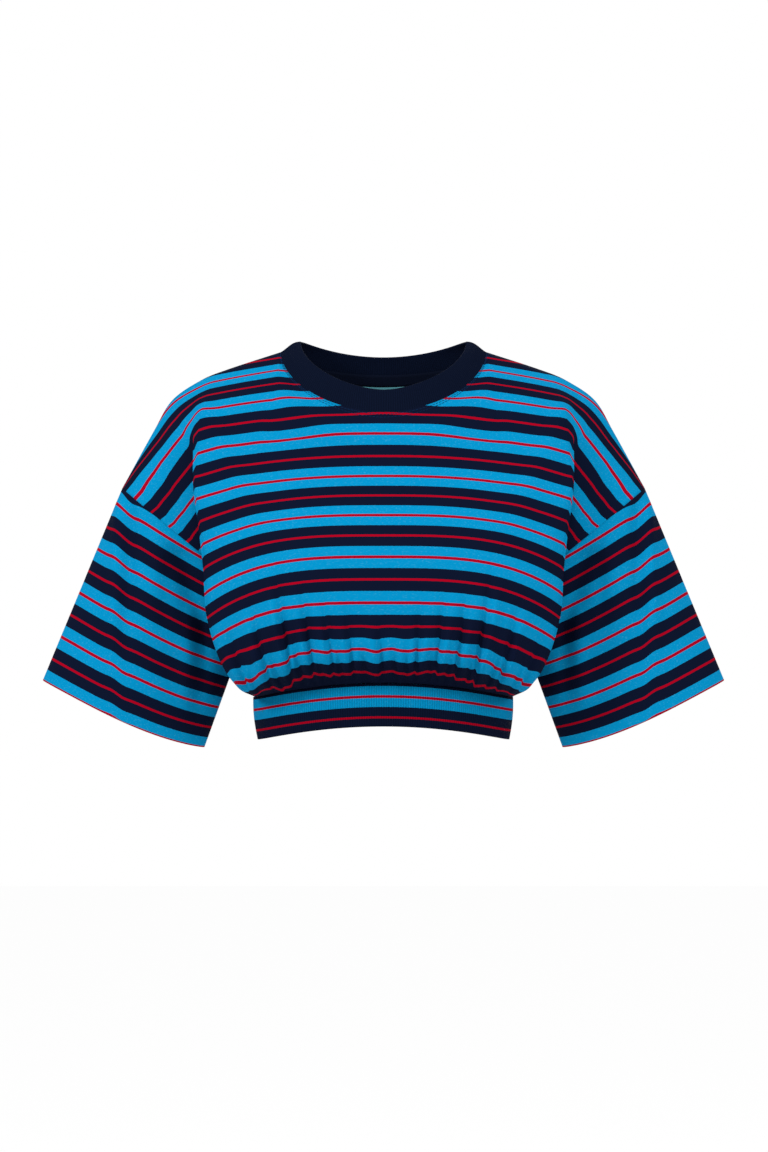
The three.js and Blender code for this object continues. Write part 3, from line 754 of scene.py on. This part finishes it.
def sleeveGrid(angle):
    # rings from the armhole to the cuff, whose underside sags
    end, low = np.array(cut["shoulderEnd"]), np.array(cut["underarm"])
    outer, inner = np.array(sleeve["cuffOuter"]), np.array(sleeve["cuffInner"])
    towardsBody = (1 - np.cos(angle)) / 2
    rings = []
    for t in np.linspace(0, 1, sleeve["along"] + 1):
        high = end + (outer - end) * t
        centre = (high + low + (inner - low) * t) / 2
        reach = high - centre
        depth = cut["armholeDepth"] + t * (sleeve["cuffDepth"] - cut["armholeDepth"])
        away = np.array([reach[1], -reach[0]]) / np.hypot(*reach)
        sag = sleeve["sag"] * t * np.sin(angle) ** 2 * towardsBody ** sleeve["sagPower"]
        rings.append(np.stack([centre[0] + reach[0] * np.cos(angle) + away[0] * sag,
                               depth * np.sin(angle),
                               centre[1] + reach[1] * np.cos(angle) + away[1] * sag], axis=1))
    return np.stack(rings)


def sleeveStripe(grid, angle):
    # counted up from the hem, wider on the outside, with a small turn at the kink
    toHem = np.linalg.norm(grid - grid[-1][None], axis=2)
    outward = (1 + np.cos(angle)) / 2
    widening = sleeve["outerBand"] - sleeve["innerBand"]
    pitch = sleeve["innerBand"] + widening * outward ** sleeve["bandPower"]
    stripe = sleeve["stripeAtHem"] - toHem / pitch
    x1, z1, x2, z2 = sleeve["kink"]
    down = np.clip((z1 - grid[..., 2]) / (z1 - z2), 0, 1)
    off = (grid[..., 0] - (x1 + (x2 - x1) * down)) / sleeve["kinkWidth"]
    return stripe + sleeve["kinkShift"] * (1 - sleeve["kinkFade"] * down) * off * np.exp(-off ** 2)


def makeSleeve(name, sign, node):
    angle = -np.linspace(0, 2, sleeve["around"], endpoint=False) * np.pi
    grid = sleeveGrid(angle)
    stripe = sleeveStripe(grid, angle)
    normals = gridNormals(grid, closed=True)
    if np.sum(normals * (grid - grid.mean(axis=1, keepdims=True))) < 0:
        normals = -normals
    push = foldPush(grid[..., 0], grid[..., 2], sleeveFolds)
    push = push * np.where(grid[..., 1] < 0, 1.0, sleeve["backFolds"])
    quiet = smooth(np.abs(grid[..., 1]) / sleeve["quietDepth"])
    quiet = quiet * smooth(np.arange(grid.shape[0]) / sleeve["quietRows"])[:, None]
    grid = grid + normals * (push * quiet)[..., None]
    grid[..., 0] *= sign
    if sign < 0:
        grid = grid[:, ::-1]
        stripe = stripe[:, ::-1]
    piece = meshFrom(name, grid, closed=True, stripe=stripe)
    thicken(piece, sleeve["thickness"], 1.0)
    sewOn(piece, jersey, node)


makeSleeve("sleeveLeft", 1, "sleeve_left")
makeSleeve("sleeveRight", -1, "sleeve_right")
print("stage: sleeves")


# The neck rib stands up from the neck seam and folds over at its top
neck = {
    "topHalfWidth": 83.0, "topSideZ": 12.5, "topFront": (-58.0, -41.0), "topBack": (57.0, -1.0),
    "frontRise": 0.85, "sideDip": 1.5, "dipWidth": 0.25, "bow": 0.3, "sideBow": 1.4, "sidePower": 6,
    "around": 480, "up": 12, "overFold": 8, "thickness": 2.4, "flat": (0.52, 0.046),
}


def ringPoints(count, pointAt):
    # a ring from a curve over a quarter turn, which starts at the middle of the front or the back
    points = []
    for i in range(count):
        turn = 4 * i / count
        side = -1 if turn <= 1 or turn >= 3 else 1
        fold = 4 - turn if turn > 2 else turn
        quarter = 2 - fold if fold > 1 else fold
        point = np.array(pointAt(quarter, side), float)
        if turn > 2:
            point[0] = -point[0]
        points.append(point)
    return np.array(points)


def neckSeamPoint(turn, side):
    return neckPoint(turn, cut["neckFront"] if side < 0 else cut["neckBack"])


def neckTopPoint(turn, side):
    angle = turn * np.pi / 2
    y, z = neck["topFront"] if side < 0 else neck["topBack"]
    rise = (1 - np.cos(angle)) ** neck["frontRise"] if side < 0 else np.sin(angle) ** 2
    dip = neck["sideDip"] * np.exp(-(np.cos(angle) / neck["dipWidth"]) ** 2)
    return (neck["topHalfWidth"] * np.sin(angle), y * np.cos(angle),
            z + (neck["topSideZ"] - z) * rise - dip)


def bowed(t):
    # 0 at both ends and 1 at two thirds
    return 6.75 * t * t * (1 - t)


def makeNeckRib():
    # up the outside, over the rounded fold and down the inside
    seam = ringPoints(neck["around"], neckSeamPoint)
    top = ringPoints(neck["around"], neckTopPoint)
    out = unit(seam * np.array([1, 1, 0]))
    up = top - seam
    tall = np.linalg.norm(up, axis=1, keepdims=True)
    up = up / tall
    face = unit(out - up * np.sum(out * up, axis=1, keepdims=True))
    half = neck["thickness"] / 2
    bow = neck["bow"] + neck["sideBow"] * (np.abs(top[:, :1]) / neck["topHalfWidth"]) ** neck["sidePower"]
    rise = np.linspace(0, 1, neck["up"] + 1)
    path = [(t * (tall - half), half + bow * bowed(t)) for t in rise]
    for bend in np.linspace(0, np.pi, neck["overFold"])[1:-1]:
        path.append((tall - half + half * np.sin(bend), half * np.cos(bend)))
    path += [(t * (tall - half), -half + bow * bowed(t)) for t in rise[::-1]]
    centre = seam - face * half
    grid = openedRing(np.stack([centre + up * along + face * side for along, side in path[::-1]]))
    piece = meshFrom("neckRib", grid, rib=roundRun(grid))
    sewOn(piece, neckRibCloth, "neck_rib")


makeNeckRib()
print("stage: neck rib")


# The waistband hangs from the waist seam and draws in towards the hem
band = {
    "height": 42.0, "pitch": 20.3, "firstLine": 12.6, "firstStripe": 2.0,
    "swell": 0.9, "wave": 0.5, "waves": 17, "waveBend": 2, "bends": 3,
    "proud": 0.8, "narrowing": 4.0, "narrowPower": 1.4,
    "around": 300, "up": 24, "thickness": 1.8, "flat": (0.72, 0.043),
}


def makeWaistband():
    oval = np.array([1 / cut["waistHalfWidth"] ** 2, 1 / cut["waistHalfDepth"] ** 2, 0])
    rings, levelsDown = [], []
    for t in np.linspace(0, 1, band["up"] + 1):
        drop = t * band["height"]
        ring = ringPoints(band["around"], lambda turn, side: waistPoint(turn, side, drop))
        angle = np.arctan2(ring[:, 0], -ring[:, 1])
        wave = np.sin(angle * band["waves"] + band["waveBend"] * np.sin(angle * band["bends"]))
        swell = band["swell"] * np.sin(np.pi * t) + band["wave"] * wave * (1 - t)
        swell = swell + band["proud"] - band["narrowing"] * t ** band["narrowPower"]
        rings.append(ring + unit(ring * oval) * swell[:, None])
        levelsDown.append(band["firstStripe"] + (drop - band["firstLine"]) / band["pitch"])
    grid = openedRing(np.stack(rings))
    stripe = np.repeat(np.array(levelsDown)[:, None], grid.shape[1], axis=1)
    piece = meshFrom("waistRib", grid, stripe=stripe, rib=roundRun(grid))
    thicken(piece, band["thickness"])
    sewOn(piece, waistRibCloth, "waistband")


makeWaistband()
print("stage: waistband")


# The tape and the label lie on the inside of the back, and the stitches lie beside the rib
trim = {
    "inside": 2.9, "thickness": 0.8,
    "aside": 0.1,       # a little further round, to find which way is inwards
    "tapeDrop": -1.5, "tapeWidth": 13.0, "tapeReach": 7.6, "tapeGrid": (80, 6), "tapeFlat": (0.227, 0.013),
    "labelGap": 0.2, "labelHalfWidth": 25.0, "labelHeight": 22.0, "labelGrid": (24, 12),
    "labelFlat": (0.05, 0.022),
}


def insideBack(name, reach, drop, height, gridSize):
    # a strip on the inside of the back, this far either side of the middle and below the neck seam
    panel = panels["back"]
    lines = [rowLines(row, 1) for row in panel["rows"]]
    strips = []
    for column in np.linspace(-reach, reach, gridSize[0]):
        place = abs(column)
        at = topEdge(place, panel)[0] + (drop + np.linspace(0, height, gridSize[1])) / bandWidth
        here = curveThrough(*columnCurve(panel, lines, place), at)
        aside = curveThrough(*columnCurve(panel, lines, place + trim["aside"]), at)
        inward = -unit(np.cross(aside - here, np.gradient(here, axis=0)))
        point = here + inward * trim["inside"]
        if column < 0:
            point[:, 0] *= -1
        strips.append(point)
    piece = meshFrom(name, np.stack(strips, axis=1))
    thicken(piece, trim["thickness"], 0.0)
    return piece


tape = insideBack("neckTape", trim["tapeReach"], trim["tapeDrop"], trim["tapeWidth"], trim["tapeGrid"])
sewOn(tape, tapeCloth, "neck_tape")
labelShare = (trim["labelHalfWidth"] / cut["neckHalfWidth"]) ** (cut["neckPower"] / 2)
labelReach = columns["neck"] * np.arcsin(labelShare) / (np.pi / 2)
label = insideBack("neckLabel", labelReach, trim["tapeDrop"] + trim["tapeWidth"] + trim["labelGap"],
                   trim["labelHeight"], trim["labelGrid"])
sewOn(label, labelCloth, "neck_label")
print("stage: tape and label")


# Two rows of stitches round the neck, lying on the panels just outside the rib
stitch = {
    "rows": (2.8, 6.2), "length": 3.2, "gap": 0.4, "start": 0.5, "thread": 0.62,
    "pointedEnds": 0.25, "lift": 0.35, "sink": 0.1, "sides": 6, "stations": 5, "pastNeck": 0.6,
}


def atDrop(grid, run, drop):
    return np.array([[np.interp(drop, run[:, c], grid[:, c, k]) for k in range(3)]
                     for c in range(grid.shape[1])])


def stitchLine(grid, normals, drop):
    # the line a set distance down the cloth from the neck seam, and the way the cloth faces there
    reach = np.linalg.norm(np.diff(grid, axis=0), axis=2)
    run = np.concatenate([np.zeros((1, grid.shape[1])), np.cumsum(reach, axis=0)])
    return atDrop(grid, run, drop), unit(atDrop(normals, run, drop))


def addStitch(verts, faces, centre, normal):
    # a short closed tube, pointed at both ends
    first, sides, stations = len(verts), stitch["sides"], stitch["stations"]
    across = np.cross(normal, unit(np.gradient(centre, axis=0)))
    swell = np.sin(np.linspace(stitch["pointedEnds"], np.pi - stitch["pointedEnds"], stations))
    for i in range(stations):
        middle = centre[i] + normal[i] * (stitch["lift"] * swell[i] - stitch["sink"])
        for a in np.linspace(0, 2 * np.pi, sides, endpoint=False):
            spoke = np.cos(a) * across[i] + np.sin(a) * normal[i]
            verts.append((middle + stitch["thread"] / 2 * swell[i] * spoke) * mm)
    for i in range(stations - 1):
        for k in range(sides):
            n = (k + 1) % sides
            low = first + i * sides
            faces.append((low + k, low + n, low + sides + n, low + sides + k))
    last = first + (stations - 1) * sides
    faces.append(tuple(first + k for k in range(sides))[::-1])
    faces.append(tuple(last + k for k in range(sides)))


def makeStitches():
    verts, faces = [], []
    half = columnPlaces()
    places = np.concatenate([-half[:0:-1], half])
    atNeck = np.abs(places) <= columns["neck"] + stitch["pastNeck"]
    for grid, normals in ((frontGrid, frontNormals), (backGrid, backNormals)):
        for drop in stitch["rows"]:
            line, facing = stitchLine(grid[:, atNeck], normals[:, atNeck], drop)
            run = np.concatenate([[0], np.cumsum(np.linalg.norm(np.diff(line, axis=0), axis=1))])
            every = stitch["length"] + stitch["gap"]
            for start in np.arange(stitch["start"], run[-1] - stitch["length"], every):
                marks = start + stitch["length"] * np.linspace(0, 1, stitch["stations"])
                centre = np.stack([np.interp(marks, run, line[:, k]) for k in range(3)], axis=1)
                normal = np.stack([np.interp(marks, run, facing[:, k]) for k in range(3)], axis=1)
                addStitch(verts, faces, centre, unit(normal))
    mesh = bpy.data.meshes.new("neckStitches")
    mesh.from_pydata([tuple(v) for v in verts], [], faces)
    mesh.shade_smooth()
    mesh.materials.append(threadCloth)
    piece = bpy.data.objects.new("neckStitches", mesh)
    bpy.context.scene.collection.objects.link(piece)
    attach(piece, "root")
    print("stage: stitches,", len(faces), "faces")


makeStitches()


# Floor, daylight and lamps. A lamp has its place, its width in metres and its power in watts.
studio = {
    "floorZ": -2.6, "floorSize": 40.0, "floorColour": (0.98, 0.98, 0.98, 1), "daylight": 1.0,
    "aim": (0, 0, -0.2),
    "lamps": {
        "keyLight": ((-1.9, -1.5, 0.9), 0.6, 56),
        "fillLight": ((1.9, -1.5, 0.8), 0.8, 35),
        "frontLight": ((0.0, -2.4, 1.9), 1.0, 26),
        "backLight": ((0.3, 2.4, 1.5), 1.4, 70),
    },
}


def makeFloor():
    material = bpy.data.materials.new("paleFloor")
    material.use_nodes = True
    shader = material.node_tree.nodes["Principled BSDF"]
    shader.inputs["Base Color"].default_value = studio["floorColour"]
    shader.inputs["Roughness"].default_value = 1.0
    shader.inputs["Specular IOR Level"].default_value = 0.0
    half = studio["floorSize"] / 2
    corners = [(-half, -half, 0), (half, -half, 0), (half, half, 0), (-half, half, 0)]
    mesh = bpy.data.meshes.new("floor")
    mesh.from_pydata(corners, [], [(0, 1, 2, 3)])
    mesh.materials.append(material)
    floor = bpy.data.objects.new("floor", mesh)
    floor.location = (0, 0, studio["floorZ"])
    bpy.context.scene.collection.objects.link(floor)


def addLamp(name, place, size, power):
    light = bpy.data.lights.new(name, "AREA")
    light.shape = "DISK"
    light.size = size
    light.energy = power
    lamp = bpy.data.objects.new(name, light)
    lamp.location = place
    lamp.rotation_euler = (Vector(studio["aim"]) - Vector(place)).to_track_quat("-Z", "Y").to_euler()
    bpy.context.scene.collection.objects.link(lamp)


makeFloor()
world = bpy.data.worlds.new("studio")
world.use_nodes = True
daylight = world.node_tree.nodes["Background"]
daylight.inputs["Color"].default_value = (1, 1, 1, 1)
daylight.inputs["Strength"].default_value = studio["daylight"]
bpy.context.scene.world = world
for lampName, (place, size, power) in studio["lamps"].items():
    addLamp(lampName, place, size, power)
bpy.context.scene.view_settings.view_transform = "Standard"     # keeps the dyes as they are named
print("stage: studio")
